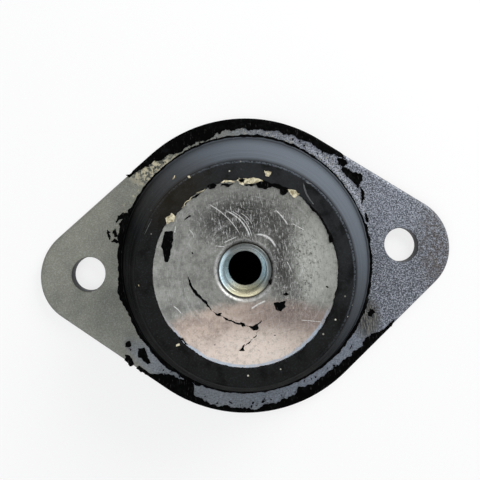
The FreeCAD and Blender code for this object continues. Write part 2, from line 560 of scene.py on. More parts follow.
@dataclass(frozen=True)
class FlangeSteel:
    """Phosphated sheet steel: greenish and smooth on the left ear, bluish and speckled on the right."""

    left: Colour = paint(129, 130, 118)
    right: Colour = paint(124, 130, 142)
    bare: Colour = paint(112, 120, 131)
    dark: Colour = paint(58, 60, 64)
    cream: Colour = paint(196, 188, 160)
    soil: Colour = paint(30, 30, 28)
    scuff_dark: Colour = paint(32, 32, 31)
    scuff_pale: Colour = paint(134, 132, 122)
    rolled: Colour = paint(74, 62, 48)
    glint_and_pale_mottle: Colour = paint(186, 190, 200)
    # painted shade on the walls of the bolt holes
    bore: Colour = paint(22, 24, 32)
    darkening: Oval = Oval((35, -9), (11, 9), 0.7)
    rust: Oval = Oval((47, -3), (5, 12), 0.7)
    corner: Oval = Oval((-20.5, 24.0), (6.5, 3.6), 0.5)
    scuff: Oval = Oval((27.4, -16.0), (3.2, 4.6), 0.4)
    hole_place: float = 38.1
    hole_radius: float = 4.2
    roll_top: float = 2.92
    roll_foot: float = 2.35

    def material(self) -> bpy.types.Material:
        """Builds the node material."""
        graph = Graph("phosphated_steel", self.left)
        cloud = graph.noise(size=7.0, detail=3, rough=0.6)
        grain = graph.noise(size=0.34, detail=3, rough=0.8)
        fine = graph.noise(size=0.9, detail=5, rough=0.75)
        self.coat(graph, cloud, grain)
        self.wear(graph)
        self.remains(graph, fine)
        self.edges(graph, fine, grain)
        graph.bump(graph.plus(grain, graph.times(fine, 0.6)), depth=0.06, strength=0.7)
        return graph.dress(cloud, rough=(0.44, 0.58), metal=0.3, gloss=0.4)

    def coat(self, graph: Graph, cloud: Socket, grain: Socket) -> None:
        """Phosphate coat with its clouding, its speckle and its painted glints, coarser to the right.

        Args:
            graph: The material being built.
            cloud: Wide clouding.
            grain: Grain of the coat.
        """
        graph.lay(self.right, graph.band(graph.x, -16, 20))
        # darker patch beside the cone's foot on the front right of the flange
        graph.lay(self.dark, graph.spot(self.darkening, cloud), 0.34)
        graph.lay(self.dark, graph.band(cloud, 0.35, 0.7, (0.0, 0.22)))
        graph.lay(self.dark, graph.band(grain, 0.52, 0.4), graph.band(graph.x, -20, 30, (0.2, 1.0)))
        # painted glints: bright specks of the grain, stronger towards the right
        graph.lay(self.glint_and_pale_mottle, graph.band(grain, 0.51, 0.61), graph.band(graph.x, -10, 30, (0.18, 0.85)))

    def wear(self, graph: Graph) -> None:
        """Bare, mottled steel in front of the cone.

        Args:
            graph: The material being built.
        """
        wear_and_highlight = graph.times(graph.band(graph.radius(), 36.0, 33.0), graph.band(graph.y, -14, -20))
        slanted = graph.mapped(graph.place, scale=(1.0, 1.6, 1), turn=20)
        mottle = graph.noise(size=0.6, detail=5, rough=0.8, vector=slanted)
        graph.lay(self.bare, wear_and_highlight, 0.7)
        graph.lay(self.dark, wear_and_highlight, graph.band(mottle, 0.5, 0.36, (0.0, 0.75)))
        # pale mottle of the bare steel
        graph.lay(self.glint_and_pale_mottle, wear_and_highlight, graph.band(mottle, 0.54, 0.68, (0.0, 0.5)))

    def remains(self, graph: Graph, fine: Socket) -> None:
        """Rust on the right ear, dried bond behind the cone, and the scuff at the front right.

        Args:
            graph: The material being built.
            fine: Fine noise that breaks them up.
        """
        graph.lay(self.rolled, graph.spot(self.rust, fine), graph.band(fine, 0.42, 0.6, (0.1, 0.7)))
        rear = graph.times(graph.band(graph.y, 4, 20), graph.band(graph.radius(), 34.0, 31.2))
        graph.lay(self.cream, rear, graph.band(fine, 0.56, 0.66), 0.8)
        corner = graph.spot(self.corner, fine)
        graph.lay(self.soil, corner, graph.band(fine, 0.5, 0.44), 0.7)
        graph.lay(self.cream, corner, graph.band(fine, 0.47, 0.57), 0.9)
        slanted = graph.mapped(graph.place, scale=(3.2, 0.5, 1), turn=38)
        streaks = graph.noise(size=0.7, detail=4, rough=0.7, vector=slanted)
        scuff = graph.mix(graph.band(streaks, 0.44, 0.66), self.scuff_dark, self.scuff_pale)
        graph.lay(scuff, graph.spot(self.scuff, fine), 0.85)

    def edges(self, graph: Graph, fine: Socket, grain: Socket) -> None:
        """Rolled outer edge, the painted highlight line by the foot and painted shade on the walls of the
        bolt holes.

        Args:
            graph: The material being built.
            fine: Fine noise.
            grain: Grain of the coat.
        """
        below_top = graph.band(graph.z, self.roll_top, self.roll_foot)
        above_underside = graph.band(graph.z, 0.05, 0.35)
        rim = graph.times(below_top, graph.band(graph.radius(), 30, 31), above_underside)
        graph.lay(self.rolled, rim, graph.band(fine, 0.3, 0.6, (0.55, 0.95)))
        # painted highlight line by the foot, on the rear right
        line = graph.ring((30.9, 31.2), (31.5, 31.9))
        rear_right = graph.times(graph.band(graph.y, 5, 9), graph.band(graph.x, 16, 22))
        graph.lay(self.glint_and_pale_mottle, line, rear_right, graph.band(grain, 0.42, 0.55))
        # painted shade on the walls of the bolt holes, below the plate's top
        across = graph.minus(graph.maths("ABSOLUTE", graph.x), self.hole_place)
        near = graph.band(graph.length(across, graph.y), self.hole_radius + 0.1, self.hole_radius)
        graph.lay(self.bore, near, graph.band(graph.z, 3.0, 2.8, (0.0, 0.95)))


@dataclass(frozen=True)
class ConeRubber:
    """Moulded black rubber: charcoal on top, with a pale painted sheen, painted shade, dust and faint rings
    on the flank.
    """

    body: Colour = paint(27, 27, 26)
    painted_sheen: Colour = paint(106, 113, 122)
    film_and_sheen: Colour = paint(52, 55, 58)
    brown_sheen: Colour = paint(52, 46, 34)
    dust: Colour = paint(196, 194, 180)
    near_black_and_shade: Colour = paint(8, 8, 8)
    rear_left: Oval = Oval((-15.5, 17.5), (9, 6), 0.7)
    gloss: float = 0.004

    def material(self) -> bpy.types.Material:
        """Builds the node material."""
        graph = Graph("moulded_rubber_finish", self.body)
        radius = graph.radius()
        rings = graph.node("CombineXYZ", X=radius, Y=graph.z)
        moulded = graph.mapped(rings.outputs[0], scale=(1.6, 1.0, 1))
        lines = graph.noise(size=0.4, detail=2, rough=0.5, vector=moulded)
        cloud = graph.noise(size=4.0, detail=4, rough=0.6)
        grain = graph.noise(size=0.35, detail=4, rough=0.7)
        sunny = graph.band(graph.plus(graph.times(graph.x, 0.85), graph.y), -14, 34)
        # painted sheen: lighter grey film towards the lit upper right, clouded
        graph.lay(self.film_and_sheen, graph.band(sunny, 0.0, 1.0, (0.1, 0.6)), graph.band(cloud, 0.3, 0.7, (0.3, 0.9)))
        graph.lay(self.film_and_sheen, graph.band(grain, 0.5, 0.68, (0.0, 0.45)))
        # darker clouding at random
        graph.lay(self.near_black_and_shade, graph.band(cloud, 0.5, 0.32, (0.0, 0.5)))
        # painted shade on the flank, away from the light
        graph.lay(self.near_black_and_shade, graph.band(radius, 21.4, 22.8), graph.band(sunny, 0.45, 0.1), 0.95)
        graph.lay(self.film_and_sheen, graph.band(lines, 0.54, 0.66), graph.band(radius, 21.3, 21.8, (0.0, 0.4)))
        # painted sheen on the lit side of the flank, streaked by the moulding rings
        flank = graph.times(graph.band(radius, 21.1, 22.6), sunny)
        above_foot = graph.band(radius, 29.6, 26.5, (0.55, 1.0))
        graph.lay(self.painted_sheen, flank, above_foot, graph.band(lines, 0.3, 0.7, (0.66, 0.9)))
        # painted highlight line on the shoulder's lit side
        shoulder = graph.ring((20.85, 21.05), (21.2, 21.4))
        graph.lay(self.painted_sheen, shoulder, sunny, graph.band(grain, 0.4, 0.55), 0.6)
        # painted brownish sheen on the rear left of the top
        graph.lay(self.brown_sheen, graph.spot(self.rear_left, cloud), 0.3)
        graph.lay(self.dust, self.specks(graph), graph.band(radius, 22.6, 21.4, (0.12, 1.0)))
        graph.bump(graph.plus(graph.times(lines, 1.2), grain), depth=0.05, strength=0.8)
        return graph.dress(cloud, rough=(0.5, 0.66), gloss=self.gloss)

    def specks(self, graph: Graph) -> Socket:
        """Mask of small specks of dust, of uneven strength.

        Args:
            graph: The material being built.

        Returns:
            The mask.
        """
        cells = graph.node("TexVoronoi", Vector=graph.place, Scale=0.8, Randomness=1.0)
        strength = graph.node("SeparateColor", Color=cells.outputs["Color"]).outputs[0]
        return graph.times(graph.band(cells.outputs["Distance"], 0.17, 0.09), graph.band(strength, 0.8, 1.0))


@dataclass(frozen=True)
class DiscSteel:
    """Zinc-plated disc, grey and scratched above, warm and bright towards the front."""

    silver: Colour = paint(142, 143, 137)
    pale: Colour = paint(178, 180, 172)
    dull: Colour = paint(54, 54, 51)
    warm: Colour = paint(186, 168, 155)
    warm_dark: Colour = paint(126, 112, 106)
    warm_bright: Colour = paint(226, 212, 200)
    cool: Colour = paint(166, 182, 198)
    bright: Colour = paint(224, 224, 222)
    darkening: Colour = paint(58, 50, 38)
    behind_bush: Oval = Oval((-0.5, 9.8), (7.5, 4.2))
    beside_bush: Oval = Oval((8.0, 1.5), (3.4, 7.0))
    right_side: Oval = Oval((13.6, 0.5), (4.2, 7.5))
    busy_rear: Oval = Oval((1.0, 9.2), (9.5, 5.2))
    busy_right: Oval = Oval((9.0, 1.0), (4.8, 8.4))
    front_shade: Oval = Oval((9.0, -9.0), (8.0, 4.8), 0.7)
    front_light: Oval = Oval((0.5, -15.2), (9.5, 3.6), 0.8)
    front_line: float = -5.7
    front_bow: float = 0.011
    long_scratches: tuple[tuple[Point, Point, float, float], ...] = (  # two ends, width and bow
        ((-5.9, 13.25), (-0.5, 7.2), 0.16, 0.55),
        ((-2.5, 11.6), (1.5, 6.3), 0.3, 0.75),
        ((-1.6, 11.5), (1.9, 6.2), 0.14, 0.8),
        ((0.1, 11.0), (2.2, 8.6), 0.12, 0.25),
        ((7.1, 10.9), (9.1, 7.9), 0.26, 0.15),
        ((10.0, 8.1), (12.2, 6.6), 0.12, 0.0),
        ((-14.3, -5.5), (-13.0, -6.9), 0.2, 0.1),
        ((0.5, -7.3), (3.3, -6.1), 0.35, 0.1),
        ((2.9, 6.6), (6.3, 3.9), 0.5, 0.7),
        ((-3.6, 5.6), (-1.0, 6.5), 0.18, 0.0),
        ((-5.3, 5.1), (-3.6, 4.8), 0.18, 0.0),
        ((8.2, 0.9), (8.9, -1.2), 0.14, 0.1),
        ((-13.1, 8.4), (-12.8, 9.6), 0.22, 0.0),
        ((9.8, -10.2), (13.6, -10.9), 0.12, 0.0),
        ((-10.2, 8.7), (-9.4, 7.0), 0.12, 0.2),
    )
    scratch_fields: tuple[Point, ...] = ((35, 0.0), (-20, 7.0), (70, 13.0))  # turn and shift of each

    def material(self) -> bpy.types.Material:
        """Builds the node material."""
        graph = Graph("plated_disc_steel", self.silver)
        cloud = graph.noise(size=2.6, detail=5, rough=0.68)
        fleck = graph.noise(size=0.62, detail=4, rough=0.8)
        grit = graph.noise(size=0.3, detail=2, rough=0.6)
        graph.lay(self.dull, graph.band(cloud, 0.38, 0.66, (0.0, 0.42)))
        graph.lay(self.dull, graph.spot(self.behind_bush, cloud))
        graph.lay(self.dull, graph.spot(self.beside_bush, cloud), 0.95)
        graph.lay(self.pale, graph.spot(self.right_side, cloud), 0.8)
        self.front(graph, cloud)
        self.turning(graph)
        busy = graph.largest(graph.spot(self.busy_rear), graph.spot(self.busy_right))
        graph.lay(self.bright, graph.band(fleck, 0.56, 0.68), graph.band(busy, 0.0, 1.0, (0.2, 0.5)))
        graph.lay(self.dull, graph.band(fleck, 0.5, 0.36), graph.band(busy, 0.0, 1.0, (0.32, 0.9)))
        edge = graph.plus(graph.radius(), graph.times(cloud, 0.9))
        rim = graph.times(graph.band(edge, 17.65, 17.95), graph.band(graph.y, -7, -12))
        graph.lay(self.cool, rim, graph.band(fleck, 0.38, 0.52, (0.25, 1.0)), 0.85)
        marks = graph.times(self.scratches(graph, busy), graph.band(grit, 0.3, 0.55, (0.3, 0.9)))
        graph.lay(self.bright, marks)
        self.sink(graph, fleck)
        graph.bump(graph.minus(graph.plus(grit, fleck), marks), depth=0.035, strength=0.7)
        return graph.dress(cloud, rough=(0.32, 0.5), metal=0.5, gloss=0.5)

    def front(self, graph: Graph, cloud: Socket) -> None:
        """Warm front part of the face, below a soft bowed line, with its darker right side.

        Args:
            graph: The material being built.
            cloud: Small clouding.
        """
        warm = graph.mix(graph.band(cloud, 0.42, 0.64, (0.0, 0.45)), self.warm, self.warm_dark)
        warm = graph.mix(graph.times(graph.spot(self.front_shade, cloud), 0.85), warm, self.warm_dark)
        warm = graph.mix(graph.times(graph.spot(self.front_light, cloud), 0.85), warm, self.warm_bright)
        bowed = graph.plus(graph.y, graph.times(graph.x, graph.x, self.front_bow))
        above = graph.strayed(graph.minus(bowed, self.front_line), cloud, 3.2)
        graph.lay(warm, graph.band(above, 1.0, -1.8))

    def turning(self, graph: Graph) -> None:
        """Faint rings left by the lathe.

        Args:
            graph: The material being built.
        """
        turned = graph.node("CombineXYZ", X=graph.radius(), Y=graph.times(graph.x, 0.06))
        rings = graph.noise(size=0.45, detail=3, rough=0.6, vector=turned.outputs[0])
        graph.lay(self.bright, graph.band(rings, 0.5, 0.7, (0.0, 0.13)))

    def scratches(self, graph: Graph, busy: Socket) -> Socket:
        """Long scratches, the worn crescents by the bush and three fields of fine ones.

        Args:
            graph: The material being built.
            busy: Where the fine scratches lie close.

        Returns:
            Mask of all scratches.
        """
        marks = [graph.stroke(*scratch) for scratch in self.long_scratches]
        for turn, shift in self.scratch_fields:
            place = graph.node("CombineXYZ", X=graph.plus(graph.x, shift), Y=graph.y, Z=graph.z)
            combed = graph.mapped(place.outputs[0], scale=(3.0, 0.3, 1), turn=turn)
            hairs = graph.noise(size=0.42, detail=2, rough=0.5, vector=combed)
            marks.append(graph.times(graph.band(hairs, 0.63, 0.7), graph.band(busy, 0.0, 1.0, (0.2, 0.7))))
        return graph.largest(*marks)

    def sink(self, graph: Graph, fleck: Socket) -> None:
        """Painted highlight on the broken ring of the countersink, brightest at the front left, and its dark
        gap.

        Args:
            graph: The material being built.
            fleck: Small flecks that break the ring up.
        """
        lit = graph.band(graph.plus(graph.x, graph.y), 5, -4, (0.12, 0.62))
        broken = graph.times(lit, graph.band(fleck, 0.34, 0.56, (0.3, 1.0)))
        # painted highlight on the countersink's slope, where it faces the light
        graph.lay(self.bright, graph.ring((5.2, 5.4), (5.85, 6.15)), broken)
        # dark joint line at the bore, left out at the front left under the painted highlight
        graph.lay(self.darkening, graph.band(graph.radius(), 5.36, 5.22), graph.band(lit, 0.6, 0.25), 0.8)


@dataclass(frozen=True)
class BushZinc:
    """Bright zinc-plated bush, with a pale blue cast at its sides and a cream one in front."""

    zinc: Colour = paint(226, 232, 234)
    dull: Colour = paint(120, 126, 128)
    blue: Colour = paint(190, 226, 238)
    cream: Colour = paint(236, 226, 180)
    dark_ring: Colour = paint(50, 44, 34)
    shaded: Colour = paint(88, 92, 90)
    deep: Colour = paint(3, 3, 3)

    def material(self) -> bpy.types.Material:
        """Builds the node material."""
        graph = Graph("bright_zinc", self.zinc)
        radius = graph.radius()
        cloud = graph.noise(size=1.2, detail=4, rough=0.65)
        grain = graph.noise(size=0.25, detail=3, rough=0.7)
        graph.lay(self.dull, graph.band(cloud, 0.35, 0.65, (0.0, 0.5)))
        graph.lay(self.blue, graph.band(graph.maths("ABSOLUTE", graph.x), 1.5, 4.0, (0.0, 0.6)))
        graph.lay(self.cream, graph.band(graph.y, -1.5, -4.5, (0.0, 0.8)))
        away = graph.strayed(graph.plus(graph.x, graph.times(graph.y, 0.8)), cloud, 4.0)
        graph.lay(self.shaded, graph.band(radius, 4.3, 4.5), graph.band(away, -2.5, 2.0, (0.0, 0.95)))
        # dark rings at the mouth's edge and at the spigot's outer edge by the disc
        graph.lay(self.dark_ring, graph.ring((4.1, 4.2), (4.35, 4.5)), 0.55)
        graph.lay(self.dark_ring, graph.band(radius, 4.95, 5.1), graph.band(cloud, 0.3, 0.6, (0.3, 0.9)))
        # painted shade deep in the bore, near black
        graph.lay(self.deep, graph.band(graph.z, 22.8, 22.4), graph.band(radius, 4.3, 4.2))
        graph.bump(graph.plus(cloud, grain), depth=0.03, strength=0.6)
        return graph.dress(cloud, rough=(0.2, 0.36), metal=0.45, gloss=0.5)


@dataclass(frozen=True)
class SkinRubber:
    """Thin moulding skin: nearly black, with rubbed patches and fine scratches."""

    name: str = "thin_rubber_skin"
    dark: Colour = paint(5, 5, 5)
    rubbed: Colour = paint(22, 23, 24)
    scratched: Colour = paint(92, 92, 90)
    gloss: float = 0.012

    def material(self) -> bpy.types.Material:
        """Builds the node material."""
        graph = Graph(self.name, self.dark)
        cloud = graph.noise(size=2.4, detail=5, rough=0.68)
        grain = graph.noise(size=0.3, detail=3, rough=0.7)
        combed = graph.mapped(graph.place, scale=(2.4, 0.4, 1), turn=60)
        lines = graph.noise(size=0.5, detail=3, rough=0.6, vector=combed)
        graph.lay(self.rubbed, graph.band(cloud, 0.5, 0.72, (0.0, 0.7)))
        graph.lay(self.scratched, graph.band(lines, 0.62, 0.74, (0.0, 0.5)))
        graph.bump(graph.plus(cloud, graph.times(grain, 0.5)), depth=0.06, strength=0.8)
        return graph.dress(cloud, rough=(0.5, 0.7), gloss=self.gloss)


@dataclass(frozen=True)
class BondResidue:
    """Dried bonding agent: matt cream crumbs."""

    pale: Colour = paint(222, 214, 186)
    dark: Colour = paint(140, 130, 102)

    def material(self) -> bpy.types.Material:
        """Builds the node material."""
        graph = Graph("dried_bond", self.pale)
        cloud = graph.noise(size=0.8, detail=4, rough=0.7)
        graph.lay(self.dark, graph.band(cloud, 0.35, 0.62))
        graph.bump(cloud, depth=0.12, strength=0.9)
        return graph.dress(cloud, rough=(0.6, 0.8), gloss=0.25)


@dataclass
class FlangePlate:
    """Lozenge steel plate with rolled upper edge, two bolt holes and the collar drawn up from its middle."""

    width_radius: float
    reach: float
    thickness: float = 3.0
    ear_radius: float = 11.75
    hole_radius: float = 4.05
    roll_width: float = 0.8
    roll_depth: float = 0.55
    edge_break: float = 0.25
    collar_outer: float = 27.0
    collar_inner: float = 24.0
    collar_top: float = 8.5
    bend_radius: float = 2.0
    flat_margin: float = 0.18
    ear_steps: int = 28
    side_steps: int = 56
    hole_steps: int = 72
    collar_steps: int = 192

    @property
    def ear_offset(self) -> float:
        """Distance of a bolt hole from the middle."""
        return self.reach - self.ear_radius

    @property
    def flank_angle(self) -> float:
        """Angle from +X at which the middle arc meets a straight flank, in degrees."""
        return math.degrees(math.acos((self.width_radius - self.ear_radius) / self.ear_offset))

    @property
    def bend_start(self) -> float:
        """Radius at which the flat starts to bend up into the collar."""
        return self.collar_outer + self.bend_radius

    def edge_radius(self, degrees: float) -> float:
        """Distance from the middle to the plate's edge, for angles that stay clear of the ears.

        Args:
            degrees: Angle from +X.

        Returns:
            The distance.
        """
        off_square = abs(degrees % 180 - 90)
        past_arc = max(0.0, off_square - (90 - self.flank_angle))
        return self.width_radius / math.cos(math.radians(past_arc))

    def outline(self, bm: BMesh, inset: float, height: float) -> list[BMEdge]:
        """Closed lozenge line: four arcs joined by straight flanks.

        Args:
            bm: Mesh that takes the line.
            inset: How far the line stands inside the plate's edge.
            height: Its level.

        Returns:
            Its edges.
        """
        turn = self.flank_angle
        middle = Vector((0, 0, height))
        right_ear = Vector((self.ear_offset, 0, height))
        left_ear = Vector((-self.ear_offset, 0, height))
        arcs = (
            (right_ear, self.ear_radius, -turn, 2 * turn, self.ear_steps),
            (middle, self.width_radius, turn, 180 - 2 * turn, self.side_steps),
            (left_ear, self.ear_radius, 180 - turn, 2 * turn, self.ear_steps),
            (middle, self.width_radius, 180 + turn, 180 - 2 * turn, self.side_steps),
        )

        def draw() -> None:
            """The arcs in order, and the flanks between them."""
            ends = []
            for centre, radius, start, sweep, steps in arcs:
                first = centre + polar(radius - inset, start)
                ends.append(swing(bm, first, centre, sweep, steps))
            for (_, last), (first, _) in zip(ends, ends[1:] + ends[:1]):
                bm.edges.new((last, first))

        return edges_added(bm, draw)

    def sides(self) -> list[Point]:
        """Inset and height of each line up the plate's rolled edge."""
        edge = [(self.edge_break, 0.0), (0.0, self.edge_break)]
        centre = (self.roll_width, self.thickness - self.roll_depth)
        roll = quarter(centre, (-self.roll_width, self.roll_depth), start=0, sweep=90, steps=6)
        return edge + roll + [(self.roll_width + self.flat_margin, self.thickness)]

    def outward(self, place: Vector) -> Vector:
        """Level direction in which the plate's edge faces.

        Args:
            place: A place on that edge.

        Returns:
            The direction, of length 1.
        """
        near_ear = abs(place.x) > (self.ear_offset + self.width_radius) / 2 - self.roll_width
        centre = Vector((math.copysign(self.ear_offset, place.x) if near_ear else 0.0, 0.0))
        return (place.xy - centre).normalized()

    def draw_sides(self, bm: BMesh) -> tuple[list[BMEdge], list[BMEdge]]:
        """Raises the plate's edge line by line.

        Args:
            bm: Mesh that takes the edge.

        Returns:
            Edges of its lowest line and of its highest.
        """
        levels = self.sides()
        foot = line = self.outline(bm, *levels[0])
        for (inset, height), (next_inset, next_height) in zip(levels, levels[1:]):
            raised = bmesh.ops.extrude_edge_only(bm, edges=line)["geom"]
            fresh = set(of_kind(raised, BMVert))
            line = [edge for edge in of_kind(raised, BMEdge) if fresh.issuperset(edge.verts)]
            for vert in fresh:
                step = self.outward(vert.co) * (inset - next_inset)
                vert.co += Vector((step.x, step.y, next_height - height))
        return foot, line

    def hole_lines(self) -> list[Point]:
        """Radius and height of each ring up a bolt hole."""
        radius, top, edge = self.hole_radius, self.thickness, self.edge_break
        broken = [(radius + edge, 0.0), (radius, edge)]
        rounded = quarter((radius + edge, top - edge), (-edge, edge), start=0, sweep=90, steps=3)
        return broken + rounded + [(radius + edge + self.flat_margin, top)]

    def collar_section(self) -> list[Point]:
        """Section of the bend and collar, from the plate's upper face round to its underside."""
        bend = (self.bend_start, self.thickness + self.bend_radius)
        deep = self.bend_start - self.collar_inner
        outer = quarter(bend, (self.bend_radius, self.bend_radius), start=270, sweep=-90, steps=8)
        inner = quarter((self.bend_start, deep), (deep, deep), start=180, sweep=90, steps=10)
        rim = [(self.collar_outer, self.collar_top), (self.collar_inner, self.collar_top)]
        return outer + rim + inner

    def build(self) -> bpy.types.Object:
        """Makes the plate and gives it its finish."""
        bm = bmesh.new()
        foot, rim = self.draw_sides(bm)
        right, left = (
            turn_wall(bm, self.hole_lines(), Vector((side * self.ear_offset, 0, 0)), self.hole_steps)
            for side in (1, -1)
        )
        well = turn_wall(bm, self.collar_section(), Vector(), self.collar_steps)
        self.fill_flat(bm, foot, (left[0], well[1], right[0]))
        self.fill_flat(bm, rim, (left[1], well[0], right[1]))
        piece = finish_piece(bm, "pressed_flange", FlangeSteel().material())
        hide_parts("flange_plate")
        return piece

    @staticmethod
    def fill_flat(bm: BMesh, border: list[BMEdge], openings: Sequence[list[BMEdge]]) -> None:
        """Fills a level of the plate, as a rear and a front half that meet between its openings.

        Args:
            bm: Mesh that takes the faces.
            border: Edges of the outline on that level.
            openings: Edges of each opening, from the left one to the right one.
        """
        halves = []
        for side in (1, -1):
            loop = []
            for edges, leftwards in [(border, True)] + [(ring, False) for ring in openings]:
                verts = {vert for edge in edges for vert in edge.verts if vert.co.y * side > -MERGE_DISTANCE}
                loop += sorted(verts, key=lambda vert: vert.co.x, reverse=leftwards)
            halves.append(bm.faces.new(loop))
        for face in halves:
            face.normal_update()
        bmesh.ops.triangulate(bm, faces=halves, ngon_method="BEAUTY")


@dataclass
class TopDisc:
    """Steel disc bonded into the top of the cone, with a countersunk bore for the bush."""

    radius: float
    top: float
    underside: float
    bore_radius: float = 5.15
    countersink: float = 0.75
    crown: Point = (0.55, 0.3)  # bend in the countersink, outwards and down, as shares of its depth
    face_break: Point = (0.15, 0.02)  # edge between countersink and face, outwards and down
    rim_bevel: float = 1.6
    steps: int = 192

    def build(self) -> bpy.types.Object:
        """Turns the disc and gives it its finish."""
        bm = bmesh.new()
        depth = self.countersink
        mouth = self.bore_radius + depth
        section = [
            (self.bore_radius, self.underside),
            (self.bore_radius, self.top - depth),
            (self.bore_radius + depth * self.crown[0], self.top - depth * self.crown[1]),
            (mouth, self.top - self.face_break[1]),
            (mouth + self.face_break[0], self.top),
            (self.radius - self.rim_bevel, self.top),
            (self.radius, self.top - self.rim_bevel),
            (self.radius, self.underside),
        ]
        lathe(bm, section, self.steps)
        piece = finish_piece(bm, "plated_disc", DiscSteel().material())
        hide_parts("top_disc")
        return piece


@dataclass
class ThreadedBush:
    """Zinc bush riveted into the disc, with its coarse thread cut as a helix."""

    top: float
    end: float
    radius: float
    shoulder: float
    spigot_radius: float = 5.15
    spigot_bevel: float = 0.3
    mouth_radius: float = 4.4
    mouth_depth: float = 0.28
    mouth_crown: Point = (0.08, 0.1)  # bend in the mouth's slope, outwards and down
    counterbore_radius: float = 4.15
    cone_top: float = 23.4
    thread_top: float = 22.65
    lead_in: float = 0.7
    minor_radius: float = 3.4
    thread_depth: float = 0.58
    thread_flank: float = 1.25
    thread_crest: float = 0.1
    pitch: float = 1.25
    rows_per_pitch: int = 10
    steps: int = 96

    @property
    def thread_end(self) -> float:
        """Height at which the thread ends below."""
        return self.end + self.lead_in

    def section(self) -> list[Point]:
        """Closed section, with the bore's wall divided finely enough to take the thread."""
        low, high = self.thread_end, self.thread_top
        rows = round((high - low) / self.pitch * self.rows_per_pitch)
        bore = [(self.minor_radius, low + (high - low) * row / rows) for row in range(rows + 1)]
        mouth = [
            (self.counterbore_radius, self.cone_top),
            (self.counterbore_radius, self.top - self.mouth_depth),
            (self.counterbore_radius + self.mouth_crown[0], self.top - self.mouth_crown[1]),
            (self.mouth_radius, self.top),
        ]
        bevel = self.spigot_bevel
        edge = (self.spigot_radius - bevel, self.top - bevel)
        rim = quarter(edge, (bevel, bevel), start=90, sweep=-90, steps=4)
        body = [
            (self.spigot_radius, self.shoulder),
            (self.radius, self.shoulder),
            (self.radius, self.end),
            (self.minor_radius + self.lead_in, self.end),
        ]
        return bore + mouth + rim + body

    def cut_thread(self, bm: BMesh) -> None:
        """Opens the bore's wall outwards along a helix that fades at both ends.

        Args:
            bm: Mesh of the turned bush.
        """
        low, high = self.thread_end, self.thread_top
        just_outside = self.minor_radius + 0.01
        for vert in bm.verts:
            if off_axis(vert.co) > just_outside or not low <= vert.co.z <= high:
                continue
            turns = (vert.co.z - low) / self.pitch - bearing(vert.co) / 360
            groove = 1 - abs(2 * (turns % 1) - 1)
            fade = min(1.0, (vert.co.z - low) / self.pitch, (high - vert.co.z) / (0.5 * self.pitch))
            opened = max(0.0, min(1.0, self.thread_flank * groove - self.thread_crest))
            push_out(vert, self.thread_depth * opened * fade)

    def build(self) -> bpy.types.Object:
        """Turns the bush, cuts its thread and gives it its finish."""
        bm = bmesh.new()
        lathe(bm, self.section(), self.steps)
        self.cut_thread(bm)
        piece = finish_piece(bm, "zinc_bush", BushZinc().material(), crease=40)
        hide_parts("threaded_bush")
        return piece


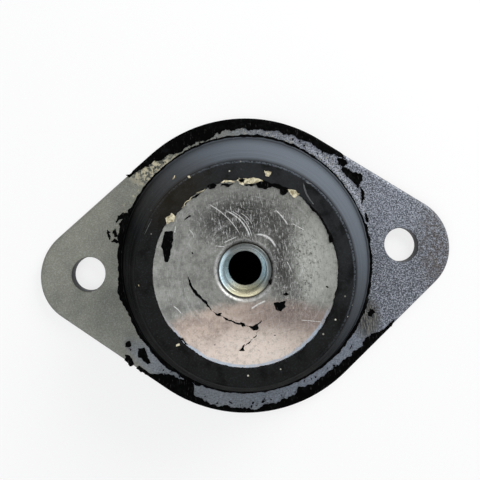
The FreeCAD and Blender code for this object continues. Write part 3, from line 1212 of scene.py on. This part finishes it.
@dataclass
class RubberBody:
    """Hollow rubber cone, moulded over the collar, the disc's rim and the bush's body."""

    top: float
    foot_radius: float
    floor: float
    foot_lip_height: float = 0.7
    foot_lip_width: float = 0.65
    foot_lip_round: float = 0.35
    shoulder_radius: float = 21.6
    shoulder_round: float = 0.5
    face_rings: Point = (1.2, 2.2)  # insets from the shoulder of the two rings on the flat top
    flank_bulge: float = 0.6
    flank_flats: int = 28
    rim_lip_height: float = 0.25
    rim_lip_slope: float = 0.5
    window_radius: float = 17.95
    roof_radius: float = 12.5
    roof_bend: float = 1.75
    knee_radius: float = 22.8
    knee_height: float = 8.5
    knee_bend: float = 1.8
    bend_flats: int = 8
    mouth_gap: float = 0.95
    steps: int = 360
    wander_radius: float = 20.0
    lip_wander: tuple[Wander, Wander] = (Wander(0.26, 1.7, 3), Wander(0.12, 0.5, 4))
    lip_fade: float = 1.6
    foot_wander: Wander = Wander(0.16, 1.1, 7)
    foot_shrink: float = 0.05
    flank_wander: Wander = Wander(0.05, 9, 5)
    still_rim: float = 0.6
    still_foot: float = 0.9
    slack: float = 0.05
    lip_line: tuple[Point, ...] = (  # angle and radius of the lip's inner edge
        (0, 18.0), (20, 17.7), (35, 17.6), (50, 17.9), (62, 17.3), (75, 17.2), (90, 17.4), (108, 17.6),
        (122, 17.6), (131, 17.1), (145, 17.9), (165, 18.0), (200, 18.05), (215, 17.7), (228, 17.9),
        (250, 18.0), (290, 18.0), (325, 17.95), (345, 17.9), (360, 18.0),
    )

    def flank(self, plate_top: float) -> list[Point]:
        """Crowned flank from above the foot's lip up to the shoulder.

        Args:
            plate_top: Level of the plate's upper face.

        Returns:
            Radius and height of each point.
        """
        low = Vector((self.foot_radius - self.foot_lip_width, plate_top + self.foot_lip_height))
        high = Vector((self.shoulder_radius, self.top - self.shoulder_round))
        outward = Vector((high.y - low.y, low.x - high.x)).normalized()
        points = []
        for step in range(self.flank_flats + 1):
            share = step / self.flank_flats
            place = low.lerp(high, share) + outward * self.flank_bulge * 4 * share * (1 - share)
            points.append((place.x, place.y))
        return points

    def hollow(self, bush: ThreadedBush) -> list[Point]:
        """Wall of the hollow from the bush's end, round the roof and the knee, down to the mouth.

        Args:
            bush: The bush that ends in the hollow.

        Returns:
            Radius and height of each point.
        """
        start = Vector((self.roof_radius, bush.end))
        end = Vector((self.knee_radius, self.knee_height))
        slope = (end - start).normalized()
        before = start - Vector((self.roof_bend, 0))
        after = start + slope * self.roof_bend
        above = end - slope * self.knee_bend
        below = end - Vector((0, self.knee_bend))
        points = [(bush.radius, bush.end)]
        for first, corner, last in ((before, start, after), (above, end, below)):
            for step in range(self.bend_flats + 1):
                share = step / self.bend_flats
                place = first.lerp(corner, share).lerp(corner.lerp(last, share), share)
                points.append((place.x, place.y))
        return points + [(self.knee_radius, self.floor)]

    def section(self, plate: FlangePlate, disc: TopDisc, bush: ThreadedBush) -> list[Point]:
        """Closed section of the body, hollow where the plate, disc and bush are bonded in.

        Args:
            plate: The plate whose collar the rubber lines.
            disc: The disc whose rim it laps over.
            bush: The bush whose body it holds.

        Returns:
            Radius and height of each point in order.
        """
        base, bend = plate.thickness, self.shoulder_round
        foot = [
            (self.foot_radius, base),
            (self.foot_radius, base + self.foot_lip_height / 2),
            (self.foot_radius - self.foot_lip_width * self.foot_lip_round, base + self.foot_lip_height),
        ]
        shoulder = quarter(
            (self.shoulder_radius - bend, self.top - bend), (bend, bend), start=0, sweep=90, steps=5
        )
        face = [(self.shoulder_radius - inset, self.top) for inset in self.face_rings]
        lip = quarter(
            (self.window_radius + self.rim_lip_slope, disc.top),
            (self.rim_lip_slope, self.rim_lip_height), start=90, sweep=90, steps=5,
        )
        bonded = [
            (disc.radius, disc.top - disc.rim_bevel),
            (disc.radius, disc.underside),
            (bush.radius, disc.underside),
        ]
        lined = [point for point in reversed(plate.collar_section()) if point[1] > self.floor]
        gap = [(plate.bend_start - self.mouth_gap, self.floor)]
        return foot + self.flank(base) + shoulder + face + lip + bonded + self.hollow(bush) + gap + lined

    def stray(self, place: Vector, plate_top: float, disc: TopDisc) -> float:
        """How far a place on the body strays outwards, most at the disc's lip and the foot's lip.

        Args:
            place: The place.
            plate_top: Level of the plate's upper face.
            disc: The disc.

        Returns:
            The distance.
        """
        radius = off_axis(place)
        around = polar(self.wander_radius, bearing(place))
        by_plate = place.z < plate_top + self.still_foot
        if place.z > disc.top - self.slack and radius < self.window_radius + self.rim_lip_slope + self.slack:
            target = along(self.lip_line, bearing(place))
            target += sum(wander.at(around) for wander in self.lip_wander)
            return (target - self.window_radius) * (1 - (radius - self.window_radius) / self.lip_fade)
        if radius > self.foot_radius - self.foot_lip_width / 2 and by_plate:
            return self.foot_wander.at(around) - self.foot_shrink
        if radius < disc.radius + self.still_rim or by_plate:
            return 0.0
        return self.flank_wander.at(around)

    def build(self, plate: FlangePlate, disc: TopDisc, bush: ThreadedBush) -> bpy.types.Object:
        """Turns the body, roughens its free edges and gives it its finish.

        Args:
            plate: The plate below it.
            disc: The disc in its top.
            bush: The bush in its middle.

        Returns:
            The piece.
        """
        bm = bmesh.new()
        lathe(bm, self.section(plate, disc, bush), self.steps)
        for vert in bm.verts:
            push_out(vert, self.stray(vert.co, plate.thickness, disc))
        piece = finish_piece(bm, "moulded_cone", ConeRubber().material(), crease=50)
        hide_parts("rubber_body")
        return piece


@dataclass
class SkinBand:
    """A band of moulding skin on the flange, between two lines about the middle."""

    start: float
    end: float
    inner: Callable[[float], float]
    outer: Callable[[float], float]
    over_edge: bool = False
    lift: float = 0.14
    sink: float = 0.03
    wrap: float = 3.3
    roll_length: float = 1.1
    end_fade: float = 9.0
    tear: float = 0.8
    coarse_grain: float = 2.2
    fine_grain: float = 0.6
    fine_share: float = 0.4
    outer_grain: float = 1.2
    outer_share: float = 0.7
    tear_radius: float = 32.0
    narrowest: float = 0.05
    least_flat: float = 0.02
    least_wrap: float = 0.02
    lowest: float = 0.3
    middle_radius: float = 33.0
    step: float = 0.32
    rows: int = 10
    edge_rows: int = 12

    def place(self, plate: FlangePlate, degrees: float, share: float) -> Vector:
        """Place on the plate's surface.

        Args:
            plate: The plate.
            degrees: Angle from +X.
            share: How far across the band it is, from 0 at the inner line to 1 at the outer one.

        Returns:
            The place.
        """
        spot = polar(self.tear_radius, degrees)
        fine = Wander(self.fine_share, self.fine_grain, self.end).at(spot)
        torn = self.tear * (ragged(spot, self.coarse_grain, self.start) + fine)
        inner = self.inner(degrees) + torn
        outer = self.outer(degrees)
        if not self.over_edge:
            outer += self.tear * self.outer_share * ragged(spot, self.outer_grain, self.end)
            return polar(inner + max(self.narrowest, outer - inner) * share, degrees, plate.thickness)
        flat = max(self.least_flat, outer - plate.roll_width - inner)
        from_end = min(degrees - self.start, self.end - degrees) + 2 * torn
        wrap = self.wrap * max(self.least_wrap, min(1.0, from_end / self.end_fade))
        travelled = share * (flat + wrap)
        if travelled <= flat:
            return polar(inner + travelled, degrees, plate.thickness)
        if travelled <= flat + self.roll_length:
            bend = (travelled - flat) / self.roll_length * math.pi / 2
            radius = outer - plate.roll_width * (1 - math.sin(bend))
            return polar(radius, degrees, plate.thickness - plate.roll_depth * (1 - math.cos(bend)))
        down = travelled - flat - self.roll_length
        return polar(outer, degrees, max(self.lowest, plate.thickness - plate.roll_depth - down))

    def sheet(self, bm: BMesh, plate: FlangePlate) -> tuple[list[BMVert], list[BMFace]]:
        """Lays the band on the plate without a thickness, its faces turned outwards.

        Args:
            bm: Mesh that takes it.
            plate: The plate.

        Returns:
            Its vertices and faces.
        """
        columns = max(4, round(math.radians(self.end - self.start) * self.middle_radius / self.step))
        rows = self.rows + (self.edge_rows if self.over_edge else 0)
        grid = bmesh.ops.create_grid(bm, x_segments=columns, y_segments=rows, size=0.5)["verts"]
        for vert in grid:
            degrees = self.start + (vert.co.x + 0.5) * (self.end - self.start)
            vert.co = self.place(plate, degrees, vert.co.y + 0.5)
        bmesh.ops.remove_doubles(bm, verts=grid, dist=0.0005)
        verts = [vert for vert in grid if vert.is_valid]
        faces = list({face for vert in verts for face in vert.link_faces})
        bmesh.ops.recalc_face_normals(bm, faces=faces)
        if sum(face.normal.z for face in faces) < 0:
            bmesh.ops.reverse_faces(bm, faces=faces)
        bm.normal_update()
        return verts, faces

    def add(self, bm: BMesh, plate: FlangePlate) -> None:
        """Lays the band on the plate as a thin closed skin.

        Args:
            bm: Mesh that takes it.
            plate: The plate.
        """
        verts, faces = self.sheet(bm, plate)
        outward = {vert.co.to_tuple(4): vert.normal.copy() for vert in verts}
        raised = bmesh.ops.extrude_face_region(bm, geom=faces, use_keep_orig=True)
        for vert in of_kind(raised["geom"], BMVert):
            vert.co += outward[vert.co.to_tuple(4)] * self.lift
        for vert in verts:
            vert.co -= outward[vert.co.to_tuple(4)] * self.sink


class Flakes:
    """Thin ragged scraps lying on a level face."""

    sink: float = 0.02
    grain: float = 0.7
    cuts: int = 3
    tip_share: float = 0.12
    seed_step: float = 1.7
    second_seed: float = 50

    def __init__(self, level: float, thickness: float, wildness: float, seed: float) -> None:
        """Starts without a scrap.

        Args:
            level: Level of the face.
            thickness: How far scraps stand proud of it.
            wildness: How ragged their edges are.
            seed: Start of their random shapes.
        """
        self.bm = bmesh.new()
        self.level = level
        self.thickness = thickness
        self.wildness = wildness
        self.seed = seed

    def blot(self, outline: Sequence[Point]) -> None:
        """Adds a scrap, whose edge is divided and roughened.

        Args:
            outline: Its coarse outline.
        """
        bm = self.bm
        self.seed += self.seed_step
        verts = [bm.verts.new((x, y, self.level - self.sink)) for x, y in outline]
        edges = [bm.edges.new(pair) for pair in zip(verts, verts[1:] + verts[:1])]
        border = of_kind(bmesh.ops.subdivide_edges(bm, edges=edges, cuts=self.cuts)["geom"], BMEdge)
        for vert in {vert for edge in border for vert in edge.verts}:
            across = ragged(vert.co, self.grain, self.seed)
            up = ragged(vert.co, self.grain, self.seed + self.second_seed)
            vert.co += Vector((across, up, 0)) * self.wildness
        filled = bmesh.ops.triangle_fill(bm, use_beauty=True, edges=border, normal=UPWARDS)
        raised = bmesh.ops.extrude_face_region(bm, geom=of_kind(filled["geom"], BMFace), use_keep_orig=True)
        lifted = of_kind(raised["geom"], BMVert)
        bmesh.ops.translate(bm, vec=(0, 0, self.thickness + self.sink), verts=lifted)

    def oval(self, centre: Point, radii: Point, turn: float = 0.0, points: int = 9) -> None:
        """Adds an oval scrap.

        Args:
            centre: Its middle.
            radii: Its reach across and up before it is turned.
            turn: Degrees that it is turned by.
            points: Number of points of its outline.
        """
        tilt = math.radians(turn)
        outline = []
        for step in range(points):
            angle = FULL_TURN * step / points
            across, up = radii[0] * math.cos(angle), radii[1] * math.sin(angle)
            outline.append((
                centre[0] + across * math.cos(tilt) - up * math.sin(tilt),
                centre[1] + across * math.sin(tilt) + up * math.cos(tilt),
            ))
        self.blot(outline)

    def streak(self, width: float, *route: Point) -> None:
        """Adds a narrow scrap along a route; its ends come to a point.

        Args:
            width: Its width.
            *route: Places along its middle.
        """
        left, right = [], []
        for index, (x, y) in enumerate(route):
            before = Vector(route[max(0, index - 1)])
            after = Vector(route[min(len(route) - 1, index + 1)])
            run = (after - before).normalized()
            half = width * (self.tip_share if index in (0, len(route) - 1) else 0.5)
            left.append((x - run.y * half, y + run.x * half))
            right.append((x + run.y * half, y - run.x * half))
        self.blot(left + right[::-1])

    def finish(self, name: str, slot: Slot, material: bpy.types.Material) -> bpy.types.Object:
        """Makes the scraps one piece."""
        return finish_piece(self.bm, name, material, crease=40)


@dataclass
class EdgeSkin:
    """Rubber skin left on the flange: bands along its edge, a flash at the foot and torn scraps."""

    rear: tuple[Point, ...] = (  # angle and radius of the rear band's inner line
        (39, 35.4), (44, 33.8), (50, 32.9), (58, 32.6), (66, 32.6), (84, 32.2), (98, 31.4), (103, 30.9),
        (110, 31.0), (116, 30.8), (119, 31.5), (122, 31.9), (127, 32.6), (131, 32.9), (136, 34.4),
        (140, 36.2),
    )
    front: tuple[Point, ...] = (  # angle and radius of the front band's inner line
        (219, 36.2), (224, 34.4), (229, 32.6), (232, 31.8), (236, 31.0), (242, 30.5), (243.5, 33.2),
        (247, 33.3), (252, 33.9), (257, 33.8), (263, 34.1), (270, 33.8), (275, 33.0), (281, 33.0),
        (286, 32.9), (288, 31.5), (295, 32.4), (301, 32.2), (308, 32.8), (315, 33.0), (320, 33.7),
        (325, 35.0), (329, 36.8), (333, 38.4),
    )
    foot: tuple[Point, ...] = (  # angle and radius of the flash's outer line
        (0, 30.6), (9, 30.9), (16, 30.5), (40, 30.5), (70, 30.8), (100, 30.6), (130, 30.5), (150, 30.8),
        (156, 31.6), (166, 31.4), (180, 30.8), (190, 31.6), (197, 30.7), (212, 30.8), (225, 31.0),
        (240, 30.9), (255, 30.6), (285, 30.5), (305, 30.7), (320, 30.8), (334, 31.0), (342, 30.7),
        (350, 30.8), (360, 30.6),
    )
    flash_tuck: float = 0.5
    flash_fringe: Wander = Wander(0.45, 1.3, 21)
    fringe_radius: float = 30.0
    speck_sizes: Point = (0.1, 0.32)
    speck_reach: Point = (0.1, 1.3)
    speck_nearest: float = 30.6
    seed: int = 5

    def bands(self, plate: FlangePlate) -> bpy.types.Object:
        """Skin that runs over the flange's edge behind and in front of the cone.

        Args:
            plate: The plate that it lies on.

        Returns:
            The piece.
        """
        bm = bmesh.new()
        for stations in (self.rear, self.front):
            band = SkinBand(
                start=stations[0][0],
                end=stations[-1][0],
                inner=lambda degrees, stations=stations: along(stations, degrees),
                outer=plate.edge_radius,
                over_edge=True,
            )
            band.add(bm, plate)
        piece = finish_piece(bm, "edge_skin_bands", SkinRubber().material(), crease=60)
        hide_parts("edge_skin")
        return piece

    def flash(self, plate: FlangePlate, foot_radius: float) -> bpy.types.Object:
        """Thin flash round the cone's foot.

        Args:
            plate: The plate that it lies on.
            foot_radius: Radius of the foot.

        Returns:
            The piece.
        """
        bm = bmesh.new()
        ring = SkinBand(
            start=0,
            end=360,
            inner=lambda degrees: foot_radius - self.flash_tuck,
            outer=lambda degrees: along(self.foot, degrees),
            lift=0.1,
            tear=0.0,
            rows=5,
        )
        ring.add(bm, plate)
        for vert in bm.verts:
            past_foot = max(0.0, off_axis(vert.co) - foot_radius)
            push_out(vert, past_foot * self.flash_fringe.at(polar(self.fringe_radius, bearing(vert.co))))
        finish = SkinRubber("foot_flash_rubber").material()
        return finish_piece(bm, "foot_flash", finish, crease=60)

    def scraps(self, plate: FlangePlate) -> bpy.types.Object:
        """Torn scraps of skin on the flat of the flange.

        Args:
            plate: The plate that they lie on.

        Returns:
            The piece.
        """
        flakes = Flakes(plate.thickness, thickness=0.09, wildness=0.42, seed=11)
        flakes.streak(1.3, (-27.2, 14.2), (-28.6, 13.4), (-29.6, 12.9), (-30.9, 11.8))
        flakes.oval((-32.7, 9.0), (0.45, 1.4), 8)
        flakes.streak(0.7, (-30.9, 10.6), (-31.4, 9.6), (-30.9, 8.6), (-30.2, 8.2))
        flakes.blot([(-32.4, 7.4), (-31.2, 7.9), (-29.9, 7.2), (-30.2, 6.4), (-31.4, 6.9)])
        flakes.oval((-29.6, -17.1), (0.7, 0.75))
        flakes.streak(0.3, (-29.6, -18.0), (-29.1, -18.5), (-28.6, -18.4))
        flakes.blot([
            (-27.3, -18.2), (-25.7, -18.2), (-25.3, -20), (-24.2, -22), (-25.1, -21.9), (-27.2, -19.9),
        ])
        flakes.blot([(-30.4, -19.2), (-29.2, -20.0), (-28.2, -21.7), (-29.3, -22.0), (-30.4, -20.7)])
        flakes.streak(0.5, (-26.9, -15.2), (-26.2, -15.9), (-25.9, -16.6))
        flakes.blot([(25.4, 22.5), (27.4, 22.0), (27.6, 20.8), (26.2, 20.4), (25.1, 21.0)])
        flakes.blot([
            (26.0, 20.3), (27.4, 19.6), (28.9, 18.6), (30.6, 18.3), (30.9, 16.6), (29.9, 15.4), (29.4, 14.4),
            (28.6, 16.0), (27.4, 17.4), (26.1, 18.9),
        ])
        flakes.streak(1.0, (29.9, 14.9), (30.3, 13.4), (30.2, 11.9), (29.8, 10.7))
        flakes.oval((30.5, 7.4), (0.4, 1.2), 6)
        flakes.oval((28.7, -15.0), (0.7, 1.1), -20)
        flakes.blot([
            (-21.6, -24.3), (-19.2, -25.1), (-16.6, -26.9), (-15.2, -28.0), (-15.0, -30.3), (-18.2, -29.2),
            (-20.9, -26.4),
        ])
        self.scatter(flakes)
        return flakes.finish("skin_scraps", Slot.SKIN, SkinRubber("torn_skin").material())

    def scatter(self, flakes: Flakes) -> None:
        """Strews small specks beside the inner lines of the bands.

        Args:
            flakes: What takes the specks.
        """
        chance = random.Random(self.seed)
        stretches = (
            (self.rear, 44, 64, 9),
            (self.rear, 98, 138, 16),
            (self.front, 226, 236, 8),
            (self.front, 247, 318, 26),
        )
        for stations, first, last, count in stretches:
            for _ in range(count):
                heading = chance.uniform(first, last)
                edge = along(stations, heading) - chance.uniform(*self.speck_reach)
                spot = polar(max(self.speck_nearest, edge), heading)
                size = chance.uniform(*self.speck_sizes)
                flakes.oval((spot.x, spot.y), (size, size * chance.uniform(0.5, 1.0)), heading, 6)


@dataclass
class DiscMarks:
    """What lies on the disc and its rubber rim: torn lip, black marks and cream crumbs."""

    face: float
    rim: float
    # grey and pale tones of the painted highlight on the torn flap's edge
    flap_highlight_grey: Colour = paint(84, 86, 87)
    flap_highlight_pale: Colour = paint(150, 152, 152)

    def black(self) -> bpy.types.Object:
        """The curved crack line with its blots, and the other black marks on the face."""
        marks = Flakes(self.face, thickness=0.03, wildness=0.22, seed=40)
        marks.streak(
            0.46, (-11.15, -0.1), (-10.8, -1.75), (-10.1, -3.1), (-9.1, -4.25), (-8.0, -5.5), (-7.2, -6.8)
        )
        marks.streak(0.3, (-6.9, -7.1), (-6.4, -7.6), (-5.9, -7.9), (-5.3, -8.1))
        marks.blot([(-6.3, -7.7), (-5.3, -7.5), (-5.9, -8.3)])
        marks.streak(0.26, (-5.2, -8.2), (-4.4, -8.75), (-3.0, -9.5), (-1.9, -9.9), (-0.4, -10.3))
        marks.blot([(-4.9, -8.4), (-4.2, -8.6), (-3.8, -9.1), (-4.5, -9.0)])
        marks.blot([(-1.9, -9.6), (-1.2, -9.8), (-0.8, -10.4), (-1.6, -10.3)])
        marks.blot([
            (-0.5, -10.4), (0.6, -10.5), (2.5, -9.4), (1.7, -10.3), (1.3, -11.2), (0.7, -11.4), (0.1, -10.9),
        ])
        marks.streak(0.16, (1.35, -11.4), (1.1, -12.1), (0.3, -12.75), (-0.6, -13.5), (-1.4, -14.0))
        marks.blot([(-1.4, -13.8), (-1.5, -14.8), (-2.6, -14.7), (-2.0, -14.3)])
        marks.blot([(4.9, -6.6), (6.1, -6.5), (7.2, -6.5), (7.0, -7.6), (6.2, -8.3), (5.2, -7.9)])
        marks.blot([(6.8, -5.1), (7.5, -4.8), (7.9, -5.3), (7.2, -5.5)])
        marks.blot([
            (-15.1, 8.8), (-13.4, 8.9), (-13.3, 7.4), (-13.8, 6.0), (-14.2, 4.2), (-14.7, 2.9), (-15.6, 3.2),
            (-15.8, 6.0),
        ])
        marks.streak(0.4, (-11.1, 10.6), (-10.5, 11.0), (-9.7, 11.4))
        marks.oval((-9.95, 4.1), (0.22, 0.16))
        marks.oval((15.4, -4.6), (0.38, 0.14), -25)
        marks.oval((-7.0, -13.2), (0.16, 0.14))
        marks.oval((4.5, -12.6), (0.2, 0.14))
        marks.streak(0.14, (-1.0, 12.4), (0.1, 12.1), (1.1, 11.4))
        marks.blot([(4.35, -2.3), (5.0, -2.1), (4.9, -3.0), (4.3, -3.3)])
        return marks.finish("face_marks", Slot.SKIN, SkinRubber("black_marks").material())

    def lip(self) -> bpy.types.Object:
        """Tongues of rubber that reach in over the disc behind the bush."""
        tongues = Flakes(self.face, thickness=self.rim - self.face - 0.02, wildness=0.3, seed=60)
        tongues.blot([
            (3.9, 15.6), (5.6, 15.2), (7.3, 15.4), (8.2, 14.9), (8.5, 13.7), (9.5, 14.0), (10.1, 14.3),
            (9.6, 17.2), (4.0, 17.8), (3.6, 16.2),
        ])
        tongues.blot([(-5.8, 16.4), (-4.6, 16.3), (-4.2, 17.0), (-5.2, 17.8), (-6.2, 17.4)])
        tongues.blot([
            (13.2, 12.4), (14.4, 10.2), (15.4, 8.7), (16.6, 6.2), (17.0, 3.8), (18.4, 4.2), (17.4, 9.2),
            (14.6, 13.4),
        ])
        tongues.streak(0.5, (-3.2, 16.9), (-2.0, 16.7), (-0.8, 16.9))
        tongues.streak(0.5, (1.6, 16.4), (2.8, 16.2), (4.0, 16.3))
        tongues.streak(0.5, (-9.4, 14.6), (-8.4, 15.1), (-7.2, 15.8))
        tongues.streak(0.4, (-13.6, -11.2), (-12.9, -12.0), (-12.2, -12.6))
        return tongues.finish("lip_tongues", Slot.CONE, SkinRubber("torn_lip").material())

    def flap(self) -> bpy.types.Object:
        """Painted pale highlight along the edge of the torn flap behind the right side of the disc."""
        edge = Flakes(self.rim, thickness=0.05, wildness=0.12, seed=70)
        edge.streak(0.3, (13.1, 15.7), (13.2, 14.6), (13.4, 13.5), (13.9, 12.4), (14.5, 11.4))
        edge.streak(0.25, (13.5, 15.9), (14.1, 15.6), (14.7, 15.3))
        edge.streak(0.12, (-18.9, 8.6), (-18.2, 10.0), (-17.3, 11.4))
        # painted highlight on the flap's edge, in grey with paler patches
        wear_and_highlight = SkinRubber("flap_edge_highlight", dark=self.flap_highlight_grey, rubbed=self.flap_highlight_pale)
        return edge.finish("flap_edge", Slot.CONE, wear_and_highlight.material())

    def crumbs(self) -> bpy.types.Object:
        """Cream crumbs of bonding agent at the rim, and the specks on the rubber."""
        bits = Flakes(self.face, thickness=0.3, wildness=0.26, seed=80)
        bits.streak(1.0, (0.1, 17.4), (1.6, 17.2), (3.2, 17.1), (5.1, 16.9))
        bits.blot([(0.3, 17.9), (1.6, 17.7), (1.2, 16.4), (0.4, 16.7)])
        bits.streak(0.4, (-3.2, 17.4), (-1.7, 17.5), (-0.5, 17.3))
        bits.streak(0.16, (-11.3, 13.0), (-10.6, 13.8), (-9.9, 14.3), (-9.1, 15.1))
        bits.streak(0.14, (-8.3, 15.5), (-7.2, 15.9), (-6.3, 16.4))
        bits.blot([(10.0, 14.7), (11.0, 14.6), (12.0, 13.6), (11.4, 12.9), (10.4, 13.4)])
        bits.level = self.rim
        bits.thickness = 0.1
        bits.blot([(-14.6, 11.3), (-13.4, 12.2), (-12.6, 11.4), (-13.2, 10.6), (-14.4, 10.2)])
        bits.blot([(5.5, 18.9), (6.2, 18.6), (6.9, 18.4), (6.5, 17.6), (5.8, 17.7)])
        bits.oval((-9.4, 19.1), (0.3, 0.2))
        bits.streak(0.3, (-12.9, 18.7), (-12.5, 19.1), (-12.1, 19.4))
        bits.oval((-20.7, -1.0), (0.16, 0.16))
        bits.oval((-13.9, -12.6), (0.3, 0.22))
        return bits.finish("bond_crumbs", Slot.DISC, BondResidue().material())


@dataclass(frozen=True)
class Lamp:
    """Square soft lamp that faces the part, in metres and watts."""

    name: str
    place: tuple[float, float, float]
    size: float
    power: float
    colour: tuple[float, float, float]

    def hang(self) -> None:
        """Adds it to the scene."""
        light = bpy.data.lights.new(self.name, "AREA")
        light.size = self.size
        light.energy = self.power
        light.color = self.colour
        lamp = bpy.data.objects.new(self.name, light)
        bpy.context.scene.collection.objects.link(lamp)
        lamp.location = self.place
        lamp.rotation_euler = (-Vector(self.place)).to_track_quat("-Z", "Y").to_euler()


@dataclass
class Studio:
    """Pale floor, soft surroundings, lamps and the camera.

    The floor's size and gap, the lamps and the nearest distance seen are in metres, and the camera's
    place and the radius of the hollow in millimetres.
    """

    camera_place: tuple[float, float, float] = (0.878, 10.04, 123.68)
    camera_turn: tuple[float, float, float] = (0.1432, 0.0098, -0.0924)
    lens: float = 36.5
    sensor: float = 36.0
    shift_y: float = -0.193
    nearest: float = 0.005
    floor_size: float = 3.0
    floor_gap: float = 0.00005
    floor_roughness: float = 0.9
    floor_glow: float = 0.75
    hollow_radius: float = 29.0
    floor_tone: Colour = (0.88, 0.88, 0.88, 1)
    hollow_shadow_tone: Colour = (0.004, 0.004, 0.004, 1)
    sky_tone: Colour = (0.95, 0.97, 1.0, 1)
    horizon_light: float = 0.75
    zenith_light: float = 0.25
    lamps: tuple[Lamp, ...] = (
        Lamp("key", (0.26, 0.26, 0.24), size=0.22, power=1.5, colour=(1.0, 0.99, 0.97)),
        Lamp("fill", (-0.2, -0.15, 0.4), size=0.35, power=0.8, colour=(0.95, 0.97, 1.0)),
    )

    def floor(self) -> None:
        """Plain pale floor under the part."""
        bm = bmesh.new()
        bmesh.ops.create_grid(bm, x_segments=1, y_segments=1, size=self.floor_size / 2)
        mesh = bpy.data.meshes.new("studio_floor")
        bm.to_mesh(mesh)
        bm.free()
        mesh.transform(Matrix.Translation((0, 0, -self.floor_gap)))
        mesh.materials.append(self.floor_finish())
        plate = bpy.data.objects.new("studio_floor", mesh)
        bpy.context.scene.collection.objects.link(plate)

    def floor_finish(self) -> bpy.types.Material:
        """Pale material, brighter to the camera, with a near-black painted shadow where the part's hollow
        covers it.
        """
        graph = Graph("pale_floor")
        open_floor = graph.maths("GREATER_THAN", graph.radius(), self.hollow_radius)
        # painted shadow on the floor under the part's hollow
        tone = graph.mix(open_floor, self.hollow_shadow_tone, self.floor_tone)
        graph.feed(graph.shader.inputs["Base Color"], tone)
        graph.shader.inputs["Roughness"].default_value = self.floor_roughness
        rays = graph.node("LightPath").outputs
        seen = graph.largest(rays["Is Camera Ray"], rays["Is Glossy Ray"], rays["Is Transmission Ray"])
        share = graph.times(seen, self.floor_glow, open_floor)
        glow = graph.node("Emission", Strength=1.0).outputs[0]
        blend = graph.step(graph.node("MixShader"), share, graph.shader.outputs[0], glow)
        graph.feed(graph.tree.nodes["Material Output"].inputs[0], blend)
        return graph.material

    def world(self) -> None:
        """Soft grey surroundings that look white from the camera."""
        world = bpy.data.worlds.new("studio_world")
        world.use_nodes = True
        nodes = Nodes(world.node_tree)
        upward = nodes.node("SeparateXYZ", Vector=nodes.node("TexCoord").outputs["Generated"]).outputs["Z"]
        height = nodes.node("MapRange", Value=upward, To_Min=self.horizon_light, To_Max=self.zenith_light)
        light = world.node_tree.nodes["Background"]
        nodes.feed(light.inputs["Color"], self.sky_tone)
        nodes.feed(light.inputs["Strength"], height.outputs[0])
        white = nodes.node("Background", Color=(1, 1, 1, 1), Strength=1.0).outputs[0]
        seen = nodes.node("LightPath").outputs["Is Camera Ray"]
        blend = nodes.step(nodes.node("MixShader"), seen, light.outputs[0], white)
        nodes.feed(world.node_tree.nodes["World Output"].inputs[0], blend)
        bpy.context.scene.world = world

    def camera(self) -> None:
        """Camera almost straight above the part and close to it."""
        data = bpy.data.cameras.new("camera")
        data.lens = self.lens
        data.sensor_width = self.sensor
        data.shift_y = self.shift_y
        data.clip_start = self.nearest
        camera = bpy.data.objects.new("camera", data)
        bpy.context.scene.collection.objects.link(camera)
        camera.location = Vector(self.camera_place) * MM
        camera.rotation_euler = self.camera_turn
        bpy.context.scene.camera = camera

    def build(self) -> None:
        """Sets up everything round the part."""
        self.floor()
        self.world()
        for lamp in self.lamps:
            lamp.hang()
        self.camera()
        bpy.context.scene.view_settings.view_transform = "Standard"


def main() -> None:
    """Builds and dresses every piece, then the studio."""
    logging.basicConfig(level=logging.INFO, format="%(name)s %(message)s")
    _, plate_high = node_box("flange_plate")
    rubber_low, rubber_high = node_box("rubber_body")
    disc_low, disc_high = node_box("top_disc")
    bush_low, bush_high = node_box("threaded_bush")
    plate = FlangePlate(width_radius=plate_high.y, reach=plate_high.x, collar_top=plate_high.z)
    cone = RubberBody(top=rubber_high.z, foot_radius=rubber_high.x, floor=rubber_low.z)
    disc = TopDisc(radius=disc_high.x, top=disc_high.z, underside=disc_low.z)
    bush = ThreadedBush(top=bush_high.z, end=bush_low.z, radius=bush_high.x, shoulder=disc_low.z)
    plate.build()
    cone.build(plate, disc, bush)
    disc.build()
    bush.build()
    skin = EdgeSkin()
    skin.bands(plate)
    skin.flash(plate, cone.foot_radius)
    skin.scraps(plate)
    marks = DiscMarks(face=disc_high.z, rim=rubber_high.z)
    marks.black()
    marks.lip()
    marks.flap()
    marks.crumbs()
    Studio().build()


if __name__ == "__main__":
    main()
